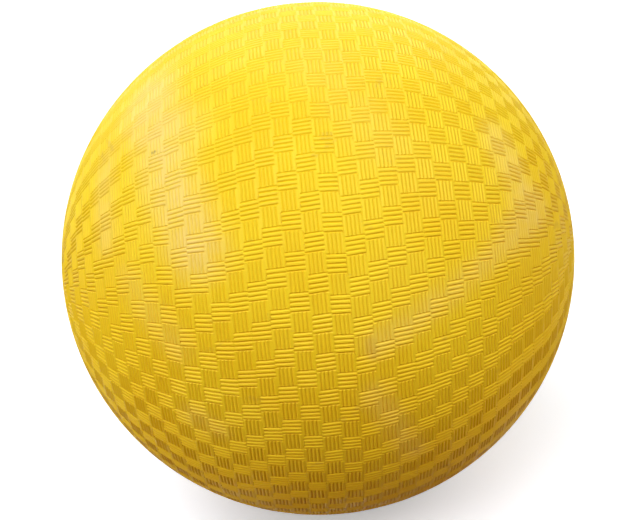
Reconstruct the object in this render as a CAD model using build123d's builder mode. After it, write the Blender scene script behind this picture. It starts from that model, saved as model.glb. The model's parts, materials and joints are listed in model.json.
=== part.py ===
"""Rubber dodgeball: a moulded cover over a wound bladder, with a needle valve at one pole.

The origin is the centre of the ball. The mould axis is X, with the valve at the +X pole, and +Z is up.
Every piece is a body of revolution about X, so each profile is drawn in the XY plane above the X axis.
All sizes are in millimetres.
"""

import os
from math import asin, degrees, sqrt

from build123d import *

# Wall of the ball, from the outside inwards
ball_diameter = 216.0
cover_wall = 1.6
winding_wall = 0.35
bladder_wall = 0.7
cement_film = 0.15  # rubber cement between two layers

# Needle and valve plug
needle_diameter = 1.9
needle_clearance = 0.1  # radial, around the needle in its guide
lead_in = 0.5  # cone at the mouth of the guide
stem_wall = 1.6  # rubber around the guide
stem_clearance = 0.05  # radial, around the stem in its bore
head_lap = 1.6  # how far the head overhangs the stem
head_depth = 1.6
head_clearance = 0.1  # radial, around the head in its seat
head_chamfer = 0.4
plug_recess = 0.2  # how far the head lies below the ball's surface
tip_wall = 4.5  # closed slit below the guide
tip_overrun = 1.5  # how far the stem stands out of the barrel
tip_chamfer = 0.8

# Valve housing and its patch
neck_wall = 1.5  # rubber around the head's seat
bond_clearance = 0.1  # radial, around the neck in the layers it goes through
flange_lap = 8.0
flange_wall = 1.4
barrel_length = 9.0  # from the flange to the barrel's inner end
patch_lap = 14.0
patch_clearance = 0.3  # radial, between the patch and the winding

# Radii of the layers
ball_radius = ball_diameter / 2
cover_inside = ball_radius - cover_wall
winding_outside = cover_inside - cement_film
winding_inside = winding_outside - winding_wall
bladder_outside = winding_inside - cement_film
bladder_inside = bladder_outside - bladder_wall
flange_outside = bladder_inside - cement_film
flange_inside = flange_outside - flange_wall

# Radii about the valve's axis
guide_radius = needle_diameter / 2 + needle_clearance
stem_radius = guide_radius + stem_wall
bore_radius = stem_radius + stem_clearance
head_radius = stem_radius + head_lap
seat_radius = head_radius + head_clearance
neck_radius = seat_radius + neck_wall
hole_radius = neck_radius + bond_clearance
flange_radius = neck_radius + flange_lap
patch_radius = neck_radius + patch_lap
winding_hole_radius = patch_radius + patch_clearance

# Stations along the valve's axis
face_x = ball_radius - plug_recess
seat_x = face_x - head_depth
barrel_x = sqrt(flange_inside**2 - neck_radius**2) - barrel_length
tip_x = barrel_x - tip_overrun
guide_x = tip_x + tip_wall


def polar_angle(sphere_radius, distance):
    """Angle from +X of the point on a sphere that lies at a distance from the valve's axis."""
    return degrees(asin(distance / sphere_radius))


os.makedirs("parts", exist_ok=True)

# Plain half of the cover: it runs from the parting plane to the -X pole
with BuildPart() as cover_plain_half:
    with BuildSketch(Plane.XY):
        with BuildLine():
            outside = CenterArc((0, 0), ball_radius, 90, 90)
            inside = CenterArc((0, 0), cover_inside, 90, 90)
            Line(outside @ 0, inside @ 0)
            Line(outside @ 1, inside @ 1)
        make_face()
    revolve(axis=Axis.X)
cover_plain_half.part.label = "cover_plain_half"

# Valve half of the cover: it runs from the parting plane to the hole for the valve's neck
with BuildPart() as cover_valve_half:
    with BuildSketch(Plane.XY):
        with BuildLine():
            hole_outside = polar_angle(ball_radius, hole_radius)
            hole_inside = polar_angle(cover_inside, hole_radius)
            outside = CenterArc((0, 0), ball_radius, hole_outside, 90 - hole_outside)
            inside = CenterArc((0, 0), cover_inside, hole_inside, 90 - hole_inside)
            Line(outside @ 0, inside @ 0)
            Line(outside @ 1, inside @ 1)
        make_face()
    revolve(axis=Axis.X)
cover_valve_half.part.label = "cover_valve_half"

# Nylon winding: one closed layer of thread that leaves a round gap for the valve's patch
with BuildPart() as nylon_winding:
    with BuildSketch(Plane.XY):
        with BuildLine():
            gap_outside = polar_angle(winding_outside, winding_hole_radius)
            gap_inside = polar_angle(winding_inside, winding_hole_radius)
            outside = CenterArc((0, 0), winding_outside, gap_outside, 180 - gap_outside)
            inside = CenterArc((0, 0), winding_inside, gap_inside, 180 - gap_inside)
            Line(outside @ 0, inside @ 0)
            Line(outside @ 1, inside @ 1)
        make_face()
    revolve(axis=Axis.X)
nylon_winding.part.label = "nylon_winding"

# Valve patch: a domed ring that fills the gap in the winding and stiffens the wall around the neck
with BuildPart() as valve_patch:
    with BuildSketch(Plane.XY):
        with BuildLine():
            hole_outside = polar_angle(winding_outside, hole_radius)
            hole_inside = polar_angle(winding_inside, hole_radius)
            rim_outside = polar_angle(winding_outside, patch_radius)
            rim_inside = polar_angle(winding_inside, patch_radius)
            outside = CenterArc((0, 0), winding_outside, hole_outside, rim_outside - hole_outside)
            inside = CenterArc((0, 0), winding_inside, hole_inside, rim_inside - hole_inside)
            Line(outside @ 0, inside @ 0)
            Line(outside @ 1, inside @ 1)
        make_face()
    revolve(axis=Axis.X)
valve_patch.part.label = "valve_patch"

# Bladder: the airtight lining, with a hole for the valve's neck
with BuildPart() as bladder:
    with BuildSketch(Plane.XY):
        with BuildLine():
            hole_outside = polar_angle(bladder_outside, hole_radius)
            hole_inside = polar_angle(bladder_inside, hole_radius)
            outside = CenterArc((0, 0), bladder_outside, hole_outside, 180 - hole_outside)
            inside = CenterArc((0, 0), bladder_inside, hole_inside, 180 - hole_inside)
            Line(outside @ 0, inside @ 0)
            Line(outside @ 1, inside @ 1)
        make_face()
    revolve(axis=Axis.X)
bladder.part.label = "bladder"

# Valve housing: a neck flush with the ball, a flange cemented inside the bladder and a barrel
with BuildPart() as valve_housing:
    with BuildSketch(Plane.XY):
        with BuildLine():
            mouth = polar_angle(ball_radius, seat_radius)
            shoulder = polar_angle(ball_radius, neck_radius)
            collar_outside = polar_angle(flange_outside, neck_radius)
            collar_inside = polar_angle(flange_inside, neck_radius)
            rim_outside = polar_angle(flange_outside, flange_radius)
            rim_inside = polar_angle(flange_inside, flange_radius)
            face = CenterArc((0, 0), ball_radius, mouth, shoulder - mouth)
            flange_top = CenterArc((0, 0), flange_outside, collar_outside, rim_outside - collar_outside)
            flange_base = CenterArc((0, 0), flange_inside, collar_inside, rim_inside - collar_inside)
            Line(face @ 1, flange_top @ 0)
            Line(flange_top @ 1, flange_base @ 1)
            Polyline(
                flange_base @ 0,
                (barrel_x, neck_radius),
                (barrel_x, bore_radius),
                (seat_x, bore_radius),
                (seat_x, seat_radius),
                face @ 0,
            )
        make_face()
    revolve(axis=Axis.X)
valve_housing.part.label = "valve_housing"

# Valve plug: a head in its seat and a stem with the needle's guide, closed below by a slit
with BuildPart() as valve_plug:
    with BuildSketch(Plane.XY):
        with BuildLine():
            Polyline(
                (guide_x, 0),
                (guide_x, guide_radius),
                (face_x - lead_in, guide_radius),
                (face_x, guide_radius + lead_in),
                (face_x, head_radius - head_chamfer),
                (face_x - head_chamfer, head_radius),
                (seat_x, head_radius),
                (seat_x, stem_radius),
                (tip_x + tip_chamfer, stem_radius),
                (tip_x, stem_radius - tip_chamfer),
                (tip_x, 0),
                close=True,
            )
        make_face()
    revolve(axis=Axis.X)
valve_plug.part.label = "valve_plug"

pieces = [
    cover_plain_half,
    cover_valve_half,
    nylon_winding,
    valve_patch,
    bladder,
    valve_housing,
    valve_plug,
]
for piece in pieces:
    export_step(piece.part, f"parts/{piece.part.label}.step")

print(f"needle guide: radius {guide_radius:.3f}, wall from x {guide_x:.3f} to {face_x - lead_in:.3f}")
print(f"valve plug: {face_x - tip_x:.3f} long from its face to its tip")
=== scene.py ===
import json
import random
from math import acos, cos, degrees, pi, radians, sin, sqrt, tan

import bpy
from mathutils import Matrix, Vector


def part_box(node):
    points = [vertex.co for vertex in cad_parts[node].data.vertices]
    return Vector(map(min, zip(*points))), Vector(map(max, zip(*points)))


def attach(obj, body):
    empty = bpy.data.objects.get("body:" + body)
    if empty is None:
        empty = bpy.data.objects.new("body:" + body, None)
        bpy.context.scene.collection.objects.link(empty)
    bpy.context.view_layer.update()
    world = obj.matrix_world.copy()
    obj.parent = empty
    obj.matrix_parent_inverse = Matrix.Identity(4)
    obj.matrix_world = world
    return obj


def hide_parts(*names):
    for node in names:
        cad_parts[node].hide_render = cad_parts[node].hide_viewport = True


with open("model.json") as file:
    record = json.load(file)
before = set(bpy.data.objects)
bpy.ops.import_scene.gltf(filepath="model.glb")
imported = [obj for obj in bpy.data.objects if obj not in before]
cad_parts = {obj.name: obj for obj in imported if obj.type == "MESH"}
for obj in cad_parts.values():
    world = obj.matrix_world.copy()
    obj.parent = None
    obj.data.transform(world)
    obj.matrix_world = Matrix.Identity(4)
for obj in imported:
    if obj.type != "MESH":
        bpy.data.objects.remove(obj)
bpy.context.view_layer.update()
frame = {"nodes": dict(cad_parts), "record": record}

MM = 0.001

# The ball, from the frame: the mould axis is X and the valve is at the +X pole
MOUNTS = {mount["name"]: mount for mount in frame["record"]["mounts"]}
BALL_RADIUS = -MOUNTS["floor_contact"]["pos_m"][2]
COVER_WALL = 1.6 * MM
NECK_HOLE_RADIUS = 5.95 * MM

# Valve, as in the solids
LEAD_IN = 0.5 * MM
HEAD_DEPTH = 1.6 * MM
STEM_RADIUS = 2.65 * MM
BORE_RADIUS = 2.7 * MM
SEAT_RADIUS = 4.35 * MM
NECK_RADIUS = 5.85 * MM
FLANGE_OUTSIDE = 104.9 * MM
FLANGE_WALL = 1.4 * MM

# Ring pressed into the plug's face, and the roundings of the valve's edges
RING_DEPTH = 0.15 * MM
RING_ROUNDING = 0.05 * MM
GUIDE_ROUNDING = 0.2 * MM
HEAD_TOP_ROUNDING = 0.45 * MM
HEAD_BASE_ROUNDING = 0.2 * MM
TIP_ROUNDING = 0.9 * MM
NECK_ROUNDING = 0.3 * MM
FLANGE_ROUNDING = 0.4 * MM
COLLAR_ROUNDING = 0.5 * MM
BARREL_ROUNDING = 0.6 * MM
BORE_ROUNDING = 0.3 * MM

# Basket-weave relief: bands round the mould axis, each a row of square blocks of ridges
BANDS_TO_POLE = 24
BAND_ANGLE = 90 / BANDS_TO_POLE
WOVEN_BANDS = 22
PAIRS_AT_EQUATOR = 48
RELIEF_DEPTH = 0.42 * MM
ACROSS_RIDGES = 4
ALONG_RIDGES = 5
ACROSS_SHARE = 0.46  # of the width of a pair of blocks
ACROSS_WALL = 0.32  # of a ridge's pitch, on each side of a valley
ALONG_WALL = 0.40
ACROSS_FLOOR = 0.0  # height of a valley, as a share of the relief's depth
ALONG_FLOOR = 0.05
BORDER_HEIGHT = 0.65
BLOCK_END = 0.05
INNER_PLACES = (BLOCK_END, 0.5, 1 - BLOCK_END)

# Irregularities of the mould: bent valleys, low ridges and skewed blocks
ALONG_WOBBLE = 0.015  # of a ridge's pitch
ACROSS_WOBBLE = 0.02
HEIGHT_SPREAD = 0.06  # of the relief's depth
SKEW_SPREAD = 2.5  # degrees
VALVE_HALF_SEED = 11
PLAIN_HALF_SEED = 12

# Each band starts later round the ball than the one before it, by a lag that wanders a little.
# Phases are in pairs of blocks, and each wander has its own length in bands.
START_PHASE = 0.53
BAND_LAG = 0.338
SLOW_WANDER = 0.133
SLOW_BANDS = 20.0
FAST_WANDER = 0.126
FAST_BANDS = 8.25

# Smooth disc at each pole, with angles in degrees, and the points and rings of the turned surfaces
DISC_RISE = 0.35
RISE_RINGS = 3
DISC_RINGS = 5
INNER_RINGS = 23
RING_POINTS = 96
LATHE_POINTS = 64
HOLE_ROUNDING = 0.3 * MM
ROUNDING_RINGS = 4
SHARP_ANGLE = 30.0

# Colours of the cover
YELLOW = (0.87, 0.70, 0.018)
DEEP_YELLOW = (0.85, 0.65, 0.013)
# Painted shade: a deeper, more orange colour for the grooves of the relief
PAINTED_GROOVE_SHADE = (0.60, 0.28, 0.002)
BLOOM_YELLOW = (0.86, 0.67, 0.04)
SCUFF_YELLOW = (0.52, 0.34, 0.05)
# Pale colour for chalk and dust smudges, and for the painted sheen streak on the upper left
CHALK_AND_SHEEN_YELLOW = (0.85, 0.68, 0.17)
SMEAR_BROWN = (0.55, 0.32, 0.08)
GRIT_BROWN = (0.10, 0.06, 0.02)

# Marks on the cover: latitude and longitude of both ends, width in degrees, strength and colour. The first
# three, a pale streak on the upper left of the front, are a painted sheen; the rest are chalk and dust
# smudges, a brown smear and a speck of grit.
MARKS = (
    ((-32.5, 72), (-24.5, 27), 10, 0.95, CHALK_AND_SHEEN_YELLOW),
    ((-36, 66), (-26, 54), 10, 0.5, CHALK_AND_SHEEN_YELLOW),
    ((-46, 57), (-47, 34), 6, 0.5, CHALK_AND_SHEEN_YELLOW),
    ((-41, 21), (-31, 6), 6, 0.25, CHALK_AND_SHEEN_YELLOW),
    ((4, 60), (12, 47), 12, 0.2, CHALK_AND_SHEEN_YELLOW),
    ((40, 47), (45, 33), 8, 0.6, CHALK_AND_SHEEN_YELLOW),
    ((49, 30), (41, 24), 7, 0.5, CHALK_AND_SHEEN_YELLOW),
    ((37, 21), (8, 5), 5, 0.35, CHALK_AND_SHEEN_YELLOW),
    ((-29, -12), (-25, -14), 5, 0.25, CHALK_AND_SHEEN_YELLOW),
    ((7, -6), (14, -23), 5, 0.3, CHALK_AND_SHEEN_YELLOW),
    ((6.6, 5.3), (7.0, 3.1), 1.8, 0.32, SMEAR_BROWN),
    ((-32.4, 51), (-32.0, 51), 0.6, 0.6, GRIT_BROWN),
)

# Colours of the valve, the bladder and the thread
VALVE_BLACK = (0.030, 0.029, 0.027)
VALVE_DUST = (0.085, 0.078, 0.066)
BUTYL_BLACK = (0.022, 0.022, 0.023)
TALC_GREY = (0.13, 0.128, 0.12)
THREAD_WHITE = (0.78, 0.76, 0.70)
# Painted shade between the thread's cords
THREAD_CREASE_SHADE = (0.42, 0.38, 0.30)

# Nylon winding: belts of thread round many axes, with the cosines between which a belt's edge fades
WINDING_SEED = 5
WINDING_BELTS = 16
BELT_EDGE = (0.150, 0.153)
THREAD_PITCH = 1.1 * MM

# Camera, from the outline of the ball and the run of its bands in the photograph; angles in degrees
IMAGE_WIDTH = 636
BALL_RADIUS_PX = 256.6
CAMERA_DISTANCE = 4.742 * BALL_RADIUS
CAMERA_ELEVATION = 22.0
AXIS_ROLL = 5.76
AXIS_YAW = -1.46
CENTRE_RISE_PX = 1.6
SENSOR_WIDTH = 36.0

# Floor: its half width, its colour as it is seen and as it reflects light onto the ball, and its glow
FLOOR_REACH = 6.0
FLOOR_SEEN = (0.95, 0.95, 0.96)
FLOOR_BOUNCE = (0.08, 0.010, 0.002)
FLOOR_GLOW = (0.31, 0.365, 0.375, 1.0)

# Colours of the light
WHITE = (1.0, 1.0, 1.0, 1.0)
WARM = (1.0, 0.26, 0.05, 1.0)
COOL = (0.94, 1.03, 1.15, 1.0)
CREAM = (1.0, 0.88, 0.78, 1.0)

# Soft lights: azimuth from the front towards the valve, elevation, focus, colour and strength
SOFT_LIGHTS = (
    (0, 60, 20, COOL, 3.75),
    (-40, 35, 20, WHITE, 4.3),
    (75, 35, 20, WHITE, 3.9),
    (-75, 60, 20, COOL, 3.5),
    (75, 10, 20, WARM, 2.05),
    (-75, 10, 20, WARM, 2.05),
    (0, 10, 20, WARM, 1.2),
    (180, 12, 14, CREAM, 5.8),
)

# Lamps that only make the sheen: name, place and run of the length along the camera's right, up and
# back axes, length and width in metres, and power
SHEEN_LAMPS = (
    ("left_strip", (-1.03, 0.26, 0.65), (-0.1, 0.715, -0.49), (1.3, 0.14), 18),
    ("top_window", (0.1, 1.1, -0.25), (1, 0, 0), (1.2, 0.7), 20),
    ("key_window", (-0.14, 0.84, 1.1), (1, 0, 0), (1.0, 1.0), 40),
    ("left_window", (-0.9, 0.75, -0.4), (0.3, -0.07, 0.9), (0.8, 0.4), 7),
    ("right_window", (1.2, 0.25, -0.3), (0, -0.39, 0.92), (1.2, 0.12), 0.7),
    ("right_strip", (0.45, -0.2, 0.38), (0.38, 0.3, -0.9), (0.35, 0.06), 0.8),
)


def on_ball(latitude, longitude, radius):
    """A point of the ball: latitude runs to the valve, longitude from the front (-Y) up over the top."""
    lat = radians(latitude)
    lon = radians(longitude)
    return (radius * sin(lat), -radius * cos(lat) * cos(lon), radius * cos(lat) * sin(lon))


def polar_latitude(distance, radius):
    """Latitude, in degrees, of the circle on a sphere that lies at a distance from the mould axis."""
    return degrees(acos(distance / radius))


def new_object(name, points, faces):
    """A mesh object with smooth faces, sharp only where the surface breaks."""
    mesh = bpy.data.meshes.new(name)
    mesh.from_pydata(points, [], faces)
    mesh.shade_smooth()
    mesh.set_sharp_from_angle(angle=radians(SHARP_ANGLE))
    piece = bpy.data.objects.new(name, mesh)
    bpy.context.scene.collection.objects.link(piece)
    weighted = piece.modifiers.new("weighted_normals", "WEIGHTED_NORMAL")
    weighted.keep_sharp = True
    return piece


class Shell:
    """Vertices and faces of one closed mesh, with the relief's height kept at each vertex."""

    def __init__(self, side):
        self.side = side
        self.points = []
        self.heights = []
        self.faces = []

    def add(self, latitude, longitude, radius, height=1.0):
        """Adds a vertex and returns its number. Latitudes rise from the parting plane to the pole."""
        self.points.append(on_ball(self.side * latitude, longitude, radius))
        self.heights.append(height)
        return len(self.points) - 1

    def add_ring(self, latitude, radius):
        """A plain ring of (longitude, vertex)."""
        turns = [360 * i / RING_POINTS for i in range(RING_POINTS)]
        return [(turn, self.add(latitude, turn, radius)) for turn in turns]

    def face(self, *corners):
        """A face whose corners run outwards for the +X half; the other half is a mirror image."""
        self.faces.append(corners if self.side > 0 else corners[::-1])

    def close_ring(self, ring, radius, inside=False):
        """Triangles from a ring to the pole of a sphere."""
        pole = self.add(90, 0, radius)
        for (_, a), (_, b) in zip(ring, ring[1:] + ring[:1]):
            if inside:
                self.face(a, b, pole)
            else:
                self.face(a, pole, b)

    def join_rows(self, low, high):
        """Triangles between two open rows of (place, vertex), both in rising order of place."""
        i = 0
        j = 0
        while i < len(low) - 1 or j < len(high) - 1:
            low_next = low[i + 1][0] if i < len(low) - 1 else float("inf")
            high_next = high[j + 1][0] if j < len(high) - 1 else float("inf")
            if low_next <= high_next:
                self.face(low[i][1], high[j][1], low[i + 1][1])
                i += 1
            else:
                self.face(low[i][1], high[j][1], high[j + 1][1])
                j += 1

    def join_rings(self, low, high):
        """Triangles between two closed rings of (longitude, vertex), from the parting plane to the pole."""
        start = low[0][0]
        turn = sorted(((lon - start) % 360, vertex) for lon, vertex in high)
        base = [(lon - start, vertex) for lon, vertex in low]
        base.append((360.0, base[0][1]))
        turn.append((360.0 + turn[0][0], turn[0][1]))
        self.join_rows(base, turn)

    def join_grid(self, rows, turned=False):
        """Squares between neighbouring rows of (longitude, vertex); a turned grid has its rows across."""
        for before, after in zip(rows, rows[1:]):
            for (_, a), (_, b), (_, c), (_, d) in zip(before, after, after[1:], before[1:]):
                if turned:
                    self.face(a, d, c, b)
                else:
                    self.face(a, b, c, d)


def ridge_stations(count, wall, floor):
    """Stations across a block of ridges: the nearest valley, the place and the height of the relief."""
    stations = []
    for valley in range(count + 1):
        for offset, height in ((-wall, 1.0), (0.0, floor), (wall, 1.0)):
            place = (valley + offset) / count
            if 0 <= place <= 1:
                stations.append((valley, place, height))
    return stations


# A block along the band keeps its first valley, which is the border to the band before it.
# A block across the band has no outer valleys, because the blocks beside it end in one.
ALONG_STATIONS = ridge_stations(ALONG_RIDGES, ALONG_WALL, ALONG_FLOOR)[:-1]
ACROSS_STATIONS = ridge_stations(ACROSS_RIDGES, ACROSS_WALL, ACROSS_FLOOR)[1:-1]


def band_phase(index):
    """Where a block across the band stands at the front, in pairs of blocks."""
    slow = SLOW_WANDER * cos(2 * pi * index / SLOW_BANDS)
    fast = FAST_WANDER * sin(2 * pi * index / FAST_BANDS)
    return START_PHASE + BAND_LAG * index - slow + fast


class Band:
    """One band of the relief: a row of blocks, with ridges along the band and across it in turn."""

    def __init__(self, shell, step, rng):
        self.shell = shell
        self.rng = rng
        self.base = step * BAND_ANGLE
        self.pairs = round(PAIRS_AT_EQUATOR * cos(radians(self.base + BAND_ANGLE / 2)))
        self.pitch = 360 / self.pairs
        self.across_width = self.pitch * ACROSS_SHARE
        self.along_width = self.pitch - self.across_width
        self.shear = tan(radians(rng.gauss(0, SKEW_SPREAD))) * self.across_width
        index = step + 1 if shell.side > 0 else -step
        self.front = CAMERA_ELEVATION + band_phase(index) * self.pitch

    def add(self, place, longitude, height):
        """A point of the band: its place runs from 0 on the parting side to 1 on the pole's side."""
        longitude += self.shear * (place - 0.5)
        radius = BALL_RADIUS - RELIEF_DEPTH * (1 - height)
        return longitude, self.shell.add(self.base + place * BAND_ANGLE, longitude, radius, height)

    def ridge_gains(self, count):
        """Height of each ridge of a block, a little short of full here and there."""
        return [1 - abs(self.rng.gauss(0, HEIGHT_SPREAD)) for _ in range(count)]

    def valley_bends(self, count, wobble):
        """Sideways shift of each valley of a block at its inner places; the outermost are straight."""
        straight = [0.0 for _ in INNER_PLACES]
        bent = [[self.rng.gauss(0, wobble) / count for _ in INNER_PLACES] for _ in range(count - 1)]
        return [straight] + bent + [straight]

    def along_block(self, start):
        """Rows of points of a block whose ridges run along the band."""
        gains = self.ridge_gains(ALONG_RIDGES)
        bends = self.valley_bends(ALONG_RIDGES, ALONG_WOBBLE)
        rows = []
        for valley, place, height in ALONG_STATIONS:
            gain = gains[int(place * ALONG_RIDGES)]
            edge = 0.0 if place > 0 else BORDER_HEIGHT
            inner = height * gain if place > 0 else BORDER_HEIGHT
            row = [self.add(place, start, edge)]
            for inner_place, bend in zip(INNER_PLACES, bends[valley]):
                row.append(self.add(place + bend, start + inner_place * self.along_width, inner))
            row.append(self.add(place, start + self.along_width, edge))
            rows.append(row)
        return rows

    def across_block(self, start):
        """Columns of points of a block whose ridges run across the band."""
        gains = self.ridge_gains(ACROSS_RIDGES)
        bends = self.valley_bends(ACROSS_RIDGES, ACROSS_WOBBLE)
        columns = []
        for valley, place, height in ACROSS_STATIONS:
            gain = gains[int(place * ACROSS_RIDGES)]
            column = [self.add(0.0, start + place * self.across_width, BORDER_HEIGHT)]
            for inner_place, bend in zip(INNER_PLACES, bends[valley]):
                longitude = start + (place + bend) * self.across_width
                column.append(self.add(inner_place, longitude, height * gain))
            columns.append(column)
        return columns

    def along_edge(self, rows, end):
        """Places and vertices of one end of a block along the band."""
        return [(place, row[end][1]) for (_, place, _), row in zip(ALONG_STATIONS, rows)]

    def across_edge(self, column):
        """Places and vertices of one side of a block across the band."""
        return [(place, vertex) for place, (_, vertex) in zip((0.0, *INNER_PLACES), column)]

    def build(self):
        """Adds all blocks. Returns the band's row on the parting side and its row on the pole's side."""
        low_row = []
        high_row = []
        blocks = []
        for pair in range(self.pairs):
            start = self.front + self.across_width / 2 + pair * self.pitch
            rows = self.along_block(start)
            self.shell.join_grid(rows)
            columns = self.across_block(start + self.along_width)
            self.shell.join_grid(columns, turned=True)
            low_row += rows[0] + [column[0] for column in columns]
            high_row += rows[-1] + [column[-1] for column in columns]
            blocks.append((rows, columns))
        for (rows, columns), (next_rows, _) in zip(blocks, blocks[1:] + blocks[:1]):
            self.shell.join_rows(self.across_edge(columns[0]), self.along_edge(rows, -1))
            self.shell.join_rows(self.along_edge(next_rows, 0), self.across_edge(columns[-1]))
        return low_row, high_row


def disc_stations(hole_radius):
    """Latitudes and radii of the rings of the smooth disc, from the weave's edge to the pole or the hole."""
    edge = WOVEN_BANDS * BAND_ANGLE
    last = 90 - DISC_RISE
    if hole_radius:
        last = polar_latitude(hole_radius + HOLE_ROUNDING, BALL_RADIUS)
    stations = [(edge, BALL_RADIUS - RELIEF_DEPTH)]
    for step in range(1, RISE_RINGS + 1):
        share = step / RISE_RINGS
        stations.append((edge + DISC_RISE * share, BALL_RADIUS - RELIEF_DEPTH * (1 - share) ** 2))
    start = edge + DISC_RISE
    for step in range(1, DISC_RINGS + 1):
        stations.append((start + (last - start) * step / DISC_RINGS, BALL_RADIUS))
    if hole_radius:
        for step in range(1, ROUNDING_RINGS + 1):
            turn = radians(90 * step / ROUNDING_RINGS)
            distance = hole_radius + HOLE_ROUNDING * (1 - sin(turn))
            radius = BALL_RADIUS - HOLE_ROUNDING * (1 - cos(turn))
            stations.append((polar_latitude(distance, radius), radius))
    return stations


def make_half(name, side, seed, hole_radius):
    """One half of the cover: relief and a smooth disc outside, plain inside, closed at the parting."""
    rng = random.Random(seed)
    shell = Shell(side)
    rows = [Band(shell, step, rng).build() for step in range(WOVEN_BANDS)]
    for (_, high), (low, _) in zip(rows, rows[1:]):
        shell.join_rings(high, low)
    previous = rows[-1][1]
    for latitude, radius in disc_stations(hole_radius):
        ring = shell.add_ring(latitude, radius)
        shell.join_rings(previous, ring)
        previous = ring

    inner_radius = BALL_RADIUS - COVER_WALL
    if hole_radius:
        last_latitude = polar_latitude(hole_radius, inner_radius)
        ring = shell.add_ring(last_latitude, inner_radius)
        shell.join_rings(previous, ring)
    else:
        last_latitude = 90 - DISC_RISE
        shell.close_ring(previous, BALL_RADIUS)
        ring = shell.add_ring(last_latitude, inner_radius)
        shell.close_ring(ring, inner_radius, inside=True)
    previous = ring
    for step in range(1, INNER_RINGS + 1):
        ring = shell.add_ring(last_latitude * (1 - step / INNER_RINGS), inner_radius)
        shell.join_rings(previous, ring)
        previous = ring
    shell.join_rings(previous, rows[0][0])

    half = new_object(name, shell.points, shell.faces)
    relief = half.data.attributes.new("relief", "FLOAT", "POINT")
    relief.data.foreach_set("value", shell.heights)
    return half


def rounded(corners):
    """Points of a profile whose corners (x, radius, rounding) are rounded off by a short curve."""
    points = []
    for number, (x, radius, rounding) in enumerate(corners):
        corner = Vector((x, radius))
        if not rounding:
            points.append(corner)
            continue
        arrive = (Vector(corners[number - 1][:2]) - corner).normalized() * rounding
        leave = (Vector(corners[(number + 1) % len(corners)][:2]) - corner).normalized() * rounding
        for step in range(ROUNDING_RINGS + 1):
            share = step / ROUNDING_RINGS
            points.append(corner + arrive * (1 - share) ** 2 + leave * share**2)
    return points


def lathe(name, profile):
    """A closed piece turned about the mould axis; its profile is a loop or ends on the axis twice."""
    points = []
    faces = []
    rings = []
    for x, radius in profile:
        count = LATHE_POINTS if radius > 0 else 1
        rings.append([len(points) + i for i in range(count)])
        for i in range(count):
            turn = 2 * pi * i / count
            points.append((x, -radius * cos(turn), radius * sin(turn)))
    pairs = list(zip(rings, rings[1:]))
    if profile[0][1] > 0:
        pairs.append((rings[-1], rings[0]))
    for before, after in pairs:
        for i in range(LATHE_POINTS):
            corners = [
                before[i % len(before)], before[(i + 1) % len(before)],
                after[(i + 1) % len(after)], after[i % len(after)],
            ]
            faces.append(list(dict.fromkeys(corners)))
    return new_object(name, points, faces)


def on_sphere(sphere_radius, distance):
    """Station along the valve's axis of the point on a sphere at a distance from the axis."""
    return sqrt(sphere_radius**2 - distance**2)


def make_plug():
    """The valve plug: a head with a round edge and a ring, and a stem with the needle's blind guide."""
    tip_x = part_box("valve_plug")[0].x
    face_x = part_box("valve_plug")[1].x
    head_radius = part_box("valve_plug")[1].z
    port = MOUNTS["needle_port"]
    guide_radius = port["dims"]["r_mm"] * MM
    guide_x = port["pos_m"][0] - port["dims"]["length_mm"] * MM / 2
    ring_radius = (guide_radius + LEAD_IN + head_radius) / 2
    return lathe("needle_plug", rounded([
        (guide_x, 0.0, 0.0),
        (guide_x, guide_radius, GUIDE_ROUNDING),
        (face_x - LEAD_IN, guide_radius, GUIDE_ROUNDING),
        (face_x, guide_radius + LEAD_IN, GUIDE_ROUNDING),
        (face_x, ring_radius - RING_DEPTH, RING_ROUNDING),
        (face_x - RING_DEPTH, ring_radius, RING_ROUNDING),
        (face_x, ring_radius + RING_DEPTH, RING_ROUNDING),
        (face_x, head_radius, HEAD_TOP_ROUNDING),
        (face_x - HEAD_DEPTH, head_radius, HEAD_BASE_ROUNDING),
        (face_x - HEAD_DEPTH, STEM_RADIUS, 0.0),
        (tip_x, STEM_RADIUS, TIP_ROUNDING),
        (tip_x, 0.0, 0.0),
    ]))


def make_housing():
    """The valve housing: a neck flush with the ball, a flange inside the bladder and a barrel."""
    barrel_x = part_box("valve_housing")[0].x
    flange_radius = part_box("valve_housing")[1].z
    seat_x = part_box("valve_plug")[1].x - HEAD_DEPTH
    flange_inside = FLANGE_OUTSIDE - FLANGE_WALL
    return lathe("valve_neck", rounded([
        (seat_x, BORE_RADIUS, 0.0),
        (seat_x, SEAT_RADIUS, 0.0),
        (on_sphere(BALL_RADIUS, SEAT_RADIUS), SEAT_RADIUS, NECK_ROUNDING),
        (on_sphere(BALL_RADIUS, NECK_RADIUS), NECK_RADIUS, NECK_ROUNDING),
        (on_sphere(FLANGE_OUTSIDE, NECK_RADIUS), NECK_RADIUS, NECK_ROUNDING),
        (on_sphere(FLANGE_OUTSIDE, flange_radius), flange_radius, FLANGE_ROUNDING),
        (on_sphere(flange_inside, flange_radius), flange_radius, FLANGE_ROUNDING),
        (on_sphere(flange_inside, NECK_RADIUS), NECK_RADIUS, COLLAR_ROUNDING),
        (barrel_x, NECK_RADIUS, BARREL_ROUNDING),
        (barrel_x, BORE_RADIUS, BORE_ROUNDING),
    ]))


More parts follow.
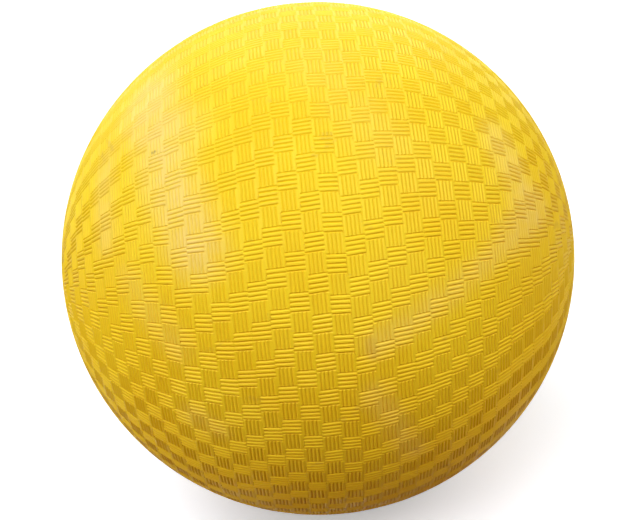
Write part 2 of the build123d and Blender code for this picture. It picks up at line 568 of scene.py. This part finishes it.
class Nodes:
    """Short forms for the nodes of a material, which is placed by the object's own coordinates."""

    def __init__(self, name):
        self.material = bpy.data.materials.new(name)
        self.material.use_nodes = True
        self.tree = self.material.node_tree
        self.shader = self.tree.nodes["Principled BSDF"]
        self.place = self.node("ShaderNodeTexCoord").outputs["Object"]

    def node(self, kind, **settings):
        """A new node with its settings."""
        node = self.tree.nodes.new(kind)
        for name, value in settings.items():
            setattr(node, name, value)
        return node

    def feed(self, socket, value):
        """Links another node's output to a socket, or sets the socket to a constant."""
        if isinstance(value, bpy.types.NodeSocket):
            self.tree.links.new(value, socket)
        else:
            socket.default_value = value

    def noise(self, feature, detail, stretch=(1.0, 1.0, 1.0)):
        """Noise from 0 to 1 whose patches are about one feature wide, in metres, times the stretch."""
        mapping = self.node("ShaderNodeMapping")
        mapping.inputs["Scale"].default_value = [1 / (feature * s) for s in stretch]
        self.feed(mapping.inputs["Vector"], self.place)
        texture = self.node("ShaderNodeTexNoise")
        texture.inputs["Scale"].default_value = 1.0
        texture.inputs["Detail"].default_value = detail
        self.feed(texture.inputs["Vector"], mapping.outputs["Vector"])
        return texture.outputs["Fac"]

    def ease(self, value, between, to=(0.0, 1.0)):
        """A smooth step: from one result to the other as the value goes from one number to the other."""
        step = self.node("ShaderNodeMapRange", interpolation_type="SMOOTHSTEP")
        names = ("From Min", "From Max", "To Min", "To Max")
        for name, number in zip(names, (*between, *to)):
            step.inputs[name].default_value = number
        self.feed(step.inputs["Value"], value)
        return step.outputs["Result"]

    def math(self, operation, *values):
        """The result of one operation on one or two values."""
        node = self.node("ShaderNodeMath", operation=operation)
        for socket, value in zip(node.inputs, values):
            self.feed(socket, value)
        return node.outputs["Value"]

    def along(self, direction):
        """Cosine of the angle, at the ball's centre, between a point and a direction."""
        outward = self.node("ShaderNodeVectorMath", operation="NORMALIZE")
        self.feed(outward.inputs[0], self.place)
        node = self.node("ShaderNodeVectorMath", operation="DOT_PRODUCT")
        node.inputs[1].default_value = direction
        self.feed(node.inputs[0], outward.outputs["Vector"])
        return node.outputs["Value"]

    def arc(self, start, end, width):
        """1 on the arc of the ball between two places, fading to 0 over a width, all in degrees."""
        first = Vector(on_ball(*start, 1.0))
        last = Vector(on_ball(*end, 1.0))
        fade = radians(width)
        reach = first.angle(last) / 2
        aside = self.math("ABSOLUTE", self.along(first.cross(last).normalized()))
        near = self.ease(aside, between=(0.0, sin(fade)), to=(1.0, 0.0))
        middle = self.along((first + last).normalized())
        within = self.ease(middle, between=(cos(reach + fade), cos(reach)))
        return self.math("MULTIPLY", near, within)

    def mix(self, factor, first, second, data_type="RGBA"):
        """A colour between two colours, or a number between two numbers."""
        node = self.node("ShaderNodeMix", data_type=data_type)
        sockets = [socket for socket in node.inputs if socket.enabled]
        for socket, value in zip(sockets, (factor, first, second)):
            self.feed(socket, (*value, 1.0) if isinstance(value, tuple) else value)
        return next(socket for socket in node.outputs if socket.enabled)

    def bump(self, height, distance, normal=None):
        """A surface normal that follows a height from 0 to 1, which stands for a distance in metres."""
        node = self.node("ShaderNodeBump")
        node.inputs["Distance"].default_value = distance
        self.feed(node.inputs["Height"], height)
        if normal is not None:
            self.feed(node.inputs["Normal"], normal)
        return node.outputs["Normal"]

    def finish(self, **inputs):
        """Feeds the shader's sockets; an underscore in a name stands for a space."""
        for name, value in inputs.items():
            self.feed(self.shader.inputs[name.replace("_", " ")], value)
        return self.material


def cover_material():
    """Moulded yellow rubber: painted shade in the grooves, pale bloom, scuffs on the ridges, and marks, of
    which the first three are a painted sheen.
    """
    nodes = Nodes("cover_rubber")
    relief = nodes.node("ShaderNodeAttribute", attribute_name="relief").outputs["Fac"]
    tone = nodes.ease(nodes.noise(feature=38 * MM, detail=4), between=(0.35, 0.65))
    colour = nodes.mix(tone, DEEP_YELLOW, YELLOW)
    bloom = nodes.ease(nodes.noise(feature=70 * MM, detail=3), between=(0.5, 0.75), to=(0.0, 0.45))
    colour = nodes.mix(bloom, colour, BLOOM_YELLOW)
    # Painted shade: the grooves get a darker, more orange colour, fading out towards the ridges' tops
    groove_shade = nodes.ease(relief, between=(0.0, 0.9), to=(0.27, 0.0))
    colour = nodes.mix(groove_shade, colour, PAINTED_GROOVE_SHADE)

    scratches = nodes.noise(feature=9 * MM, detail=5, stretch=(1.0, 2.5, 0.6))
    scuff = nodes.ease(scratches, between=(0.64, 0.74), to=(0.0, 0.35))
    colour = nodes.mix(nodes.math("MULTIPLY", scuff, relief), colour, SCUFF_YELLOW)

    patchy = nodes.ease(nodes.noise(feature=7 * MM, detail=4), between=(0.3, 0.6), to=(0.6, 1.0))
    worn = nodes.math("MULTIPLY", patchy, nodes.ease(relief, between=(0.0, 1.0), to=(0.6, 1.0)))
    # Chalk and dust smudges, a smear and grit, and in the first three marks a painted sheen streak
    for start, end, width, strength, mark_colour in MARKS:
        mark_and_sheen = nodes.math("MULTIPLY", nodes.arc(start, end, width), strength)
        colour = nodes.mix(nodes.math("MULTIPLY", mark_and_sheen, worn), colour, mark_colour)

    polish = nodes.ease(nodes.noise(feature=26 * MM, detail=3), between=(0.3, 0.7), to=(0.46, 0.58))
    dullness = nodes.ease(relief, between=(0.0, 0.6), to=(0.2, 0.0))
    waves = nodes.bump(nodes.noise(feature=3.2 * MM, detail=2), distance=0.05 * MM)
    grain = nodes.bump(nodes.noise(feature=0.35 * MM, detail=2), distance=0.012 * MM, normal=waves)
    return nodes.finish(
        Base_Color=colour,
        Roughness=nodes.math("ADD", polish, dullness),
        Normal=grain,
        IOR=1.5,
        Specular_IOR_Level=0.06,
    )


def valve_material():
    """Dark moulded rubber with dust and a dull, finely pitted skin."""
    nodes = Nodes("valve_rubber")
    dust = nodes.ease(nodes.noise(feature=2.6 * MM, detail=4), between=(0.45, 0.75), to=(0.0, 0.7))
    polish = nodes.ease(nodes.noise(feature=1.1 * MM, detail=3), between=(0.3, 0.7), to=(0.42, 0.62))
    return nodes.finish(
        Base_Color=nodes.mix(dust, VALVE_BLACK, VALVE_DUST),
        Roughness=polish,
        Normal=nodes.bump(nodes.noise(feature=0.18 * MM, detail=3), distance=0.02 * MM),
        Specular_IOR_Level=0.25,
    )


def bladder_material(name, streak):
    """Black butyl rubber with clouds of talc; the streak stretches them along the mould axis."""
    nodes = Nodes(name)
    clouds = nodes.noise(feature=11 * MM, detail=5, stretch=(streak, 1.0, 1.0))
    talc = nodes.ease(clouds, between=(0.42, 0.72), to=(0.0, 0.8))
    return nodes.finish(
        Base_Color=nodes.mix(talc, BUTYL_BLACK, TALC_GREY),
        Roughness=nodes.ease(clouds, between=(0.4, 0.7), to=(0.45, 0.8)),
        Normal=nodes.bump(nodes.noise(feature=0.9 * MM, detail=4), distance=0.06 * MM),
    )


def thread_material():
    """Nylon thread wound in belts around many axes, each belt laid over the ones before it."""
    nodes = Nodes("nylon_thread")
    rng = random.Random(WINDING_SEED)
    lay = None
    for _ in range(WINDING_BELTS):
        axis = Vector([rng.gauss(0, 1) for _ in range(3)]).normalized()
        aside = nodes.along(axis)
        turns = nodes.math("MULTIPLY", aside, 2 * pi * BALL_RADIUS / THREAD_PITCH)
        cords = nodes.ease(nodes.math("SINE", turns), between=(-1.0, 1.0))
        belt = nodes.ease(nodes.math("ABSOLUTE", aside), between=BELT_EDGE, to=(1.0, 0.0))
        # The first lay covers the whole ball, and each later one only its own belt
        lay = cords if lay is None else nodes.mix(belt, lay, cords, "FLOAT")
    return nodes.finish(
        # Painted shade: the thread's colour darkens between the cords, where the lay is low
        Base_Color=nodes.mix(nodes.ease(lay, between=(0.1, 0.8)), THREAD_CREASE_SHADE, THREAD_WHITE),
        Roughness=nodes.ease(nodes.noise(feature=14 * MM, detail=3), between=(0.3, 0.7), to=(0.45, 0.7)),
        Normal=nodes.bump(lay, distance=0.2 * MM),
        Specular_IOR_Level=0.25,
    )


def seen_or_mirrored(tree):
    """1 on a ray from the camera, a mirror or clear glass, and 0 on a ray that only brings light."""
    light_path = tree.nodes.new("ShaderNodeLightPath")
    seen = light_path.outputs["Is Camera Ray"]
    for output in ("Is Glossy Ray", "Is Transmission Ray"):
        either = tree.nodes.new("ShaderNodeMath")
        either.operation = "MAXIMUM"
        tree.links.new(seen, either.inputs[0])
        tree.links.new(light_path.outputs[output], either.inputs[1])
        seen = either.outputs["Value"]
    return seen


def floor_material():
    """White where it is seen, with the ball's shadow on it; dark as a source of bounced light."""
    nodes = Nodes("floor_white")
    seen = seen_or_mirrored(nodes.tree)
    return nodes.finish(
        Base_Color=nodes.mix(seen, FLOOR_BOUNCE, FLOOR_SEEN),
        Roughness=0.9,
        Specular_IOR_Level=0.0,
        Emission_Color=FLOOR_GLOW,
        Emission_Strength=seen,
    )


def make_floor():
    """A wide square floor under the ball."""
    signs = ((-1, -1), (1, -1), (1, 1), (-1, 1))
    corners = [(x * FLOOR_REACH, y * FLOOR_REACH, -BALL_RADIUS) for x, y in signs]
    mesh = bpy.data.meshes.new("floor")
    mesh.from_pydata(corners, [], [(0, 1, 2, 3)])
    mesh.materials.append(floor_material())
    floor = bpy.data.objects.new("floor", mesh)
    bpy.context.scene.collection.objects.link(floor)
    return floor


def camera_axes():
    """The camera's right, up and back axes, with the mould axis rolled and yawed as in the photograph."""
    tip = radians(AXIS_YAW)
    roll = radians(AXIS_ROLL)
    rise = radians(CAMERA_ELEVATION)
    back = Vector((sin(tip), -cos(tip) * cos(rise), cos(tip) * sin(rise)))
    level = (Vector((1, 0, 0)) - back * back.x).normalized()
    steep = back.cross(level)
    right = level * cos(roll) - steep * sin(roll)
    return right, back.cross(right), back


def make_camera(right, up, back):
    """A camera that sees the ball as large as it is in the photograph."""
    data = bpy.data.cameras.new("camera")
    focal_px = BALL_RADIUS_PX * sqrt((CAMERA_DISTANCE / BALL_RADIUS) ** 2 - 1)
    data.sensor_width = SENSOR_WIDTH
    data.lens = SENSOR_WIDTH * focal_px / IMAGE_WIDTH
    data.shift_y = -CENTRE_RISE_PX / IMAGE_WIDTH
    camera = bpy.data.objects.new("camera", data)
    bpy.context.scene.collection.objects.link(camera)
    rotation = Matrix((right, up, back)).transposed().to_4x4()
    camera.matrix_world = Matrix.Translation(back * CAMERA_DISTANCE) @ rotation
    return camera


def sheen_lamp(axes, name, place, run, size, power):
    """A rectangular lamp that faces the ball and shows only in its sheen."""
    data = bpy.data.lights.new(name, "AREA")
    data.shape = "RECTANGLE"
    data.size, data.size_y = size
    data.energy = power
    lamp = bpy.data.objects.new(name, data)
    bpy.context.scene.collection.objects.link(lamp)
    to_world = Matrix(axes).transposed()
    location = to_world @ Vector(place)
    away = location.normalized()
    length = to_world @ Vector(run)
    length = (length - away * length.dot(away)).normalized()
    turn = Matrix((length, away.cross(length), away)).transposed().to_4x4()
    lamp.matrix_world = Matrix.Translation(location) @ turn
    lamp.visible_camera = False
    lamp.visible_diffuse = False


def studio_dome():
    """White where it is seen; as a light, soft lobes around a few directions."""
    world = bpy.data.worlds.new("studio_dome")
    world.use_nodes = True
    tree = world.node_tree
    direction = tree.nodes.new("ShaderNodeTexCoord").outputs["Generated"]

    def background(colour):
        """Plain light of one colour."""
        node = tree.nodes.new("ShaderNodeBackground")
        node.inputs["Color"].default_value = colour
        return node

    def join(kind, *shaders):
        """Two shaders as one, added or mixed."""
        node = tree.nodes.new(kind)
        for socket, shader in zip([i for i in node.inputs if i.type == "SHADER"], shaders):
            tree.links.new(shader.outputs[0], socket)
        return node

    def lobe(azimuth, elevation, focus, colour, strength):
        """Light that is brightest in one direction and fades by a power of the cosine away from it."""
        turn = radians(azimuth)
        rise = radians(elevation)
        towards = tree.nodes.new("ShaderNodeVectorMath")
        towards.operation = "DOT_PRODUCT"
        towards.inputs[1].default_value = (sin(turn) * cos(rise), -cos(turn) * cos(rise), sin(rise))
        tree.links.new(direction, towards.inputs[0])
        level = towards.outputs["Value"]
        for operation, number in (("MAXIMUM", 0.0), ("POWER", focus), ("MULTIPLY", strength)):
            node = tree.nodes.new("ShaderNodeMath")
            node.operation = operation
            node.inputs[1].default_value = number
            tree.links.new(level, node.inputs[0])
            level = node.outputs["Value"]
        light = background(colour)
        tree.links.new(level, light.inputs["Strength"])
        return light

    light = lobe(*SOFT_LIGHTS[0])
    for soft_light in SOFT_LIGHTS[1:]:
        light = join("ShaderNodeAddShader", light, lobe(*soft_light))
    either = join("ShaderNodeMixShader", light, background(WHITE))
    tree.links.new(seen_or_mirrored(tree), either.inputs["Fac"])
    tree.links.new(either.outputs["Shader"], tree.nodes["World Output"].inputs["Surface"])
    return world


# Cover halves
yellow = cover_material()
for half_name, node, side, seed, hole in (
    ("basket_weave_valve_half", "cover_valve_half", 1, VALVE_HALF_SEED, NECK_HOLE_RADIUS),
    ("basket_weave_plain_half", "cover_plain_half", -1, PLAIN_HALF_SEED, 0.0),
):
    half = make_half(half_name, side, seed, hole)
    half.data.materials.append(yellow)
    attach(half, "ball")
    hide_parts(node)

# Valve
black = valve_material()
for piece, body, node in (
    (make_plug(), "plug", "valve_plug"),
    (make_housing(), "ball", "valve_housing"),
):
    piece.data.materials.append(black)
    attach(piece, body)
    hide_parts(node)

# Pieces inside, which keep the shapes of their solids
for node, material in (
    ("bladder", bladder_material("bladder_butyl", streak=1.0)),
    ("valve_patch", bladder_material("patch_butyl", streak=2.0)),
    ("nylon_winding", thread_material()),
):
    for material_slot in frame["nodes"][node].material_slots:
        material_slot.material = material

# Floor, camera and light
floor = make_floor()
axes = camera_axes()
bpy.context.scene.camera = make_camera(*axes)
for lamp in SHEEN_LAMPS:
    sheen_lamp(axes, *lamp)
bpy.context.scene.world = studio_dome()
bpy.context.scene.view_settings.view_transform = "Standard"
